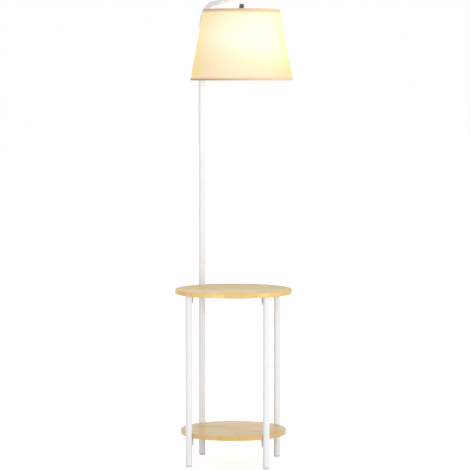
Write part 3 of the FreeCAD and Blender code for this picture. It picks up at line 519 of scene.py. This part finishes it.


# ---- Shade cover
# Cream linen-look cloth bonded to a stiff white liner, rolled from one flat cut into a cone and
# lapped at the back. The lit bulb shows through it, most near the glow's middle, which is painted
# a little off the axis.
TOP_R = 0.1229
BOTTOM_R = 0.1649
COVER_THICK = 0.0012
COVER_CUTS = 15
COVER_STEPS = 240
SEAM_SIDE = math.radians(150.0)
LAP = 0.012
LAP_EDGE = 0.004                # the lap's soft border, in radians round the shade
THREAD = 0.00062
THREAD_DEPTH = 0.00016
MERGE = 1e-6
cover_low, cover_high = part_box("shade_cloth")
shade_x = (cover_low.x + cover_high.x) / 2
cover_top, cover_bottom = cover_high.z, cover_low.z
slant = math.hypot(BOTTOM_R - TOP_R, cover_top - cover_bottom)
cone_sine = (BOTTOM_R - TOP_R) / slant
cone_cosine = (cover_top - cover_bottom) / slant
half_lap = LAP / (TOP_R + BOTTOM_R)     # in radians, halfway down the shade

# Painted light: the glow's middle is set a little to the camera's right of the shade's axis, so
# that side of the cloth, liner and hems is brighter. The glow reaches less far up and down than
# sideways. A thin coat yellows the cloth where it turns away.
GLOW_HEIGHT = 1.375
GLOW_PAINTED_OFF_AXIS = view_right * 0.021
GLOW_UPRIGHT = 1.25
GLOW_NEAREST = 0.127
GLOW_FARTHEST = 0.232
LINEN_TINT = (1.0, 0.99, 0.79, 1.0)
LINEN_TONES = ((0.45, (0.66, 0.565, 0.41)), (0.62, (0.70, 0.60, 0.44)), (0.8, (0.735, 0.635, 0.475)))
LINEN_CLOUDS = ((0.3, (0.97, 0.965, 0.955)), (0.7, (1.0, 1.0, 1.0)))
LINEN_YARN_SHADOW = ((0.45, (1.08, 1.08, 1.10)), (0.75, (0.90, 0.88, 0.84)))
LINEN_GLOW = (
    (0.0, (0.85, 0.60, 0.71)),
    (0.16, (0.70, 0.51, 0.64)),
    (0.30, (0.56, 0.42, 0.49)),
    (0.50, (0.46, 0.35, 0.365)),
    (0.65, (0.42, 0.315, 0.35)),
    (0.80, (0.40, 0.30, 0.335)),
    (1.0, (0.41, 0.30, 0.275)),
)
LINER_TONES = ((0.3, (0.90, 0.89, 0.85)), (0.7, (0.94, 0.93, 0.90)))
LINER_GLOW = ((0.0, (0.90, 0.76, 0.56)), (0.3, (0.66, 0.53, 0.37)), (1.0, (0.42, 0.30, 0.18)))
LINER_DEPTH = 0.00003
LAP_GLOW = 0.75


def seam_turn(point):
    """The angle round the shade from the side opposite its seam, from -pi to pi."""
    turn = math.atan2(point.y, point.x - shade_x) - SEAM_SIDE - math.pi
    return (turn + math.pi) % (2 * math.pi) - math.pi


def map_flat(form, name, place):
    """Lay a round piece's faces out flat, cut at the seam, in metres."""
    flat = form.loops.layers.uv.new(name)
    for face in form.faces:
        middle = seam_turn(face.calc_center_median())
        for loop in face.loops:
            turn = seam_turn(loop.vert.co)
            if abs(turn - middle) > math.pi:
                turn += math.copysign(2 * math.pi, middle)
            loop[flat].uv = place(loop.vert.co, turn)


def cut_place(point, turn):
    """Where a point of the cone lies in the flat cut."""
    radius = math.hypot(point.x - shade_x, point.y) / cone_sine
    return radius * math.sin(turn * cone_sine), -radius * math.cos(turn * cone_sine)


def seam_point(form, radius, height):
    """A new point of a piece's outline, on the shade's seam side."""
    return form.verts.new((shade_x + radius * math.cos(SEAM_SIDE), radius * math.sin(SEAM_SIDE), height))


def spin_round(form, steps):
    """Spin an outline all the way round the shade's axis."""
    outline = form.verts[:] + form.edges[:]
    axis = {"cent": (shade_x, 0.0, 0.0), "axis": (0.0, 0.0, 1.0)}
    bmesh.ops.spin(form, geom=outline, angle=2 * math.pi, steps=steps, use_merge=True, **axis)
    bmesh.ops.remove_doubles(form, verts=form.verts, dist=MERGE)
    bmesh.ops.recalc_face_normals(form, faces=form.faces)


def new_piece(name, form, *finishes):
    """Turn a finished bmesh into a smooth piece on the shade."""
    mesh = bpy.data.meshes.new(name)
    form.to_mesh(mesh)
    form.free()
    for finish in finishes:
        mesh.materials.append(finish)
    mesh.polygons.foreach_set("use_smooth", [True] * len(mesh.polygons))
    piece = bpy.data.objects.new(name, mesh)
    bpy.context.scene.collection.objects.link(piece)
    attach(piece, "shade")
    return piece


def from_glow(tree, upright):
    """How far it is to the glow, with heights multiplied by a number."""
    place = (-shade_x - GLOW_PAINTED_OFF_AXIS.x, -GLOW_PAINTED_OFF_AXIS.y, -upright * GLOW_HEIGHT)
    reach = add(tree, "VectorMath", {"operation": "LENGTH"})
    put(tree, reach.inputs[0], on_piece(tree, place, (1.0, 1.0, upright)))
    return reach.outputs["Value"]


def light_through(tree, *stops):
    """The bulb's light through the cloth, or painted on the liner: colours by the distance to the glow,
    nearest first.
    """
    reach = from_glow(tree, GLOW_UPRIGHT)
    return tones(tree, span(tree, reach, GLOW_NEAREST, GLOW_FARTHEST), *stops)


def woven(tree, threads, place_name):
    """Plain weave on the flat cut: the threads' height, and how thick the yarn is there."""
    flat = add(tree, "UVMap", {"uv_map": place_name}).outputs[0]
    sides = parts_of(tree, stretch(tree, flat, math.pi / threads, math.pi / threads, 0.0))
    weave = calc(tree, "MULTIPLY", calc(tree, "SINE", sides[0]), calc(tree, "SINE", sides[1]))
    warp = cloud(tree, stretch(tree, flat, 1400.0, 25.0, 1.0), 1.0, 2.0, 0.6)
    weft = cloud(tree, stretch(tree, flat, 25.0, 1400.0, 1.0), 1.0, 2.0, 0.6)
    slub = calc(tree, "MAXIMUM", warp, weft)
    return calc(tree, "ADD", calc(tree, "MULTIPLY", weave, 0.35), slub), slub


soft_coat = {"Coat_Weight": 1.0, "Coat_Roughness": 1.0, "Coat_IOR": 1.05, "Coat_Tint": LINEN_TINT}
linen, tree, shader = new_finish("shade_linen", Roughness=0.85, Specular_IOR_Level=0.2, **soft_coat)
height, slub = woven(tree, THREAD, "flat_cut")
own = on_piece(tree, place=(-shade_x, 0.0, 0.0))
clouds = cloud(tree, own, 9.0)
round_seam = parts_of(tree, turned_level(tree, own, -SEAM_SIDE))
beside = calc(tree, "ABSOLUTE", calc(tree, "ARCTAN2", round_seam[1], round_seam[0]))
lap = span(tree, beside, half_lap, half_lap + LAP_EDGE, 1.0, 0.0)
colour = tinted(tree, tones(tree, slub, *LINEN_TONES), tones(tree, clouds, *LINEN_CLOUDS))
glow_colour = tinted(tree, light_through(tree, *LINEN_GLOW), tones(tree, slub, *LINEN_YARN_SHADOW))
put(tree, shader.inputs["Base Color"], colour)
put(tree, shader.inputs["Emission Color"], glow_colour)
put(tree, shader.inputs["Emission Strength"], span(tree, lap, 0.0, 1.0, 1.0, LAP_GLOW))
raised_lap = calc(tree, "MULTIPLY", lap, 3.0)
relief(tree, shader, calc(tree, "ADD", height, raised_lap), THREAD_DEPTH, 0.7)

# Painted light: the liner's glow is a pool of the bulb's light painted on it, brightest nearest the glow.
liner, tree, shader = new_finish("shade_liner", Roughness=0.45, Specular_IOR_Level=0.4)
film = cloud(tree, on_piece(tree), 700.0)
put(tree, shader.inputs["Base Color"], tones(tree, film, *LINER_TONES))
put(tree, shader.inputs["Emission Color"], light_through(tree, *LINER_GLOW))
put(tree, shader.inputs["Emission Strength"], span(tree, film, 0.3, 0.7, 0.97, 1.03))
relief(tree, shader, film, LINER_DEPTH, 0.5)

form = bmesh.new()
upper = seam_point(form, TOP_R, cover_top)
lower = seam_point(form, BOTTOM_R, cover_bottom)
edge = form.edges.new((upper, lower))
bmesh.ops.subdivide_edges(form, edges=[edge], cuts=COVER_CUTS)
spin_round(form, COVER_STEPS)
outward = 0.0
for face in form.faces:
    middle = face.calc_center_median()
    outward += face.normal.x * (middle.x - shade_x) + face.normal.y * middle.y
if outward < 0:
    bmesh.ops.reverse_faces(form, faces=form.faces)
map_flat(form, "flat_cut", cut_place)
cover = new_piece("shade_cover", form, linen, liner)
wall = cover.modifiers.new("wall", "SOLIDIFY")
wall.thickness = COVER_THICK
wall.offset = -1.0
wall.material_offset = 1
wall.material_offset_rim = 1
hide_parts("shade_cloth")


# ---- Hems of the shade
# The cloth's edges are bound with brown woven tape, folded over the edge and round the wire ring
# and glued down. No light comes through the ring, so the very edge is darkest.
TAPE_THREAD = 0.0005
TAPE_DEPTH = 0.00014
TAPE_UPRIGHT = 1.7              # heights count for more, so every side of the fold has threads
TAPE_TONES = ((0.45, (0.53, 0.395, 0.265)), (0.62, (0.58, 0.44, 0.30)), (0.8, (0.64, 0.50, 0.36)))
HEM_STEPS = 200
HEM_GLOW = 0.8                  # the light where a hem comes nearest to the glow
HEM_GLOW_REACH = 0.013
# The folded tape's outline in millimetres: along the cloth from its edge, and outwards.
HEM_FOLD = (
    (10.9, -0.1), (10.95, 0.28), (10.5, 0.52), (8.0, 0.58), (5.0, 0.56), (2.0, 0.6), (0.7, 0.55),
    (-0.2, 0.25), (-0.65, -0.5), (-0.5, -1.7), (0.2, -3.0), (1.2, -4.1), (2.6, -4.6), (4.0, -4.2),
    (5.2, -3.1), (6.4, -2.0), (8.4, -1.7), (10.6, -1.55), (10.6, -1.1),
)


def hem_tape(name, edge_r, edge_z, light_from, light_to, at_edge, bright):
    """Woven tape, with the bulb's light fading out towards the shade's edge, and painted light that is
    brightest on the side nearest to the glow's off-axis middle."""
    finish, tree, shader = new_finish(
        name, Roughness=0.88, Specular_IOR_Level=0.2, Sheen_Weight=0.12, Sheen_Roughness=0.5)
    height, slub = woven(tree, TAPE_THREAD, "tape")
    level = parts_of(tree, on_piece(tree))[2]
    by_height = span(tree, level, edge_z + light_from, edge_z + light_to, at_edge, 1.0, True)
    # Painted light: the hem is brighter on the side nearest to the off-axis glow.
    near_r, far_r = edge_r - HEM_GLOW_REACH, edge_r + HEM_GLOW_REACH
    painted_side_light = span(tree, from_glow(tree, 0.0), near_r, far_r, HEM_GLOW, at_edge)
    thin_yarn = tuple(1.06 * c for c in bright)
    thick_yarn = tuple(0.9 * c for c in bright)
    put(tree, shader.inputs["Base Color"], tones(tree, slub, *TAPE_TONES))
    put(tree, shader.inputs["Emission Color"], tones(tree, slub, (0.45, thin_yarn), (0.75, thick_yarn)))
    put(tree, shader.inputs["Emission Strength"], calc(tree, "MAXIMUM", by_height, painted_side_light))
    relief(tree, shader, height, TAPE_DEPTH, 0.7)
    return finish


def hem(name, finish, edge_r, edge_z, down):
    """A folded tape spun round the shade; down is 1 at its top edge and -1 at its bottom one."""
    def tape_place(point, turn):
        return turn * edge_r, point.z * TAPE_UPRIGHT + math.hypot(point.x - shade_x, point.y)

    form = bmesh.new()
    ring = []
    for along, out in HEM_FOLD:
        radius = edge_r + (down * along * cone_sine + out * cone_cosine) / 1000.0
        height = edge_z + (-down * along * cone_cosine + out * cone_sine) / 1000.0
        ring.append(seam_point(form, radius, height))
    for first, second in zip(ring, ring[1:] + ring[:1]):
        form.edges.new((first, second))
    spin_round(form, HEM_STEPS)
    map_flat(form, "tape", tape_place)
    return new_piece(name, form, finish)


top_tape = hem_tape("top_hem_tape", TOP_R, cover_top, light_from=-0.0015, light_to=-0.0115,
                    at_edge=0.15, bright=(0.56, 0.35, 0.14))
bottom_tape = hem_tape("bottom_hem_tape", BOTTOM_R, cover_bottom, light_from=0.0030, light_to=0.0070,
                       at_edge=0.0, bright=(0.46, 0.34, 0.24))
top_hem = hem("top_hem", top_tape, TOP_R, cover_top, 1)
bottom_hem = hem("bottom_hem", bottom_tape, BOTTOM_R, cover_bottom, -1)
for piece, node in ((top_hem, "top_binding"), (bottom_hem, "bottom_binding")):
    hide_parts(node)
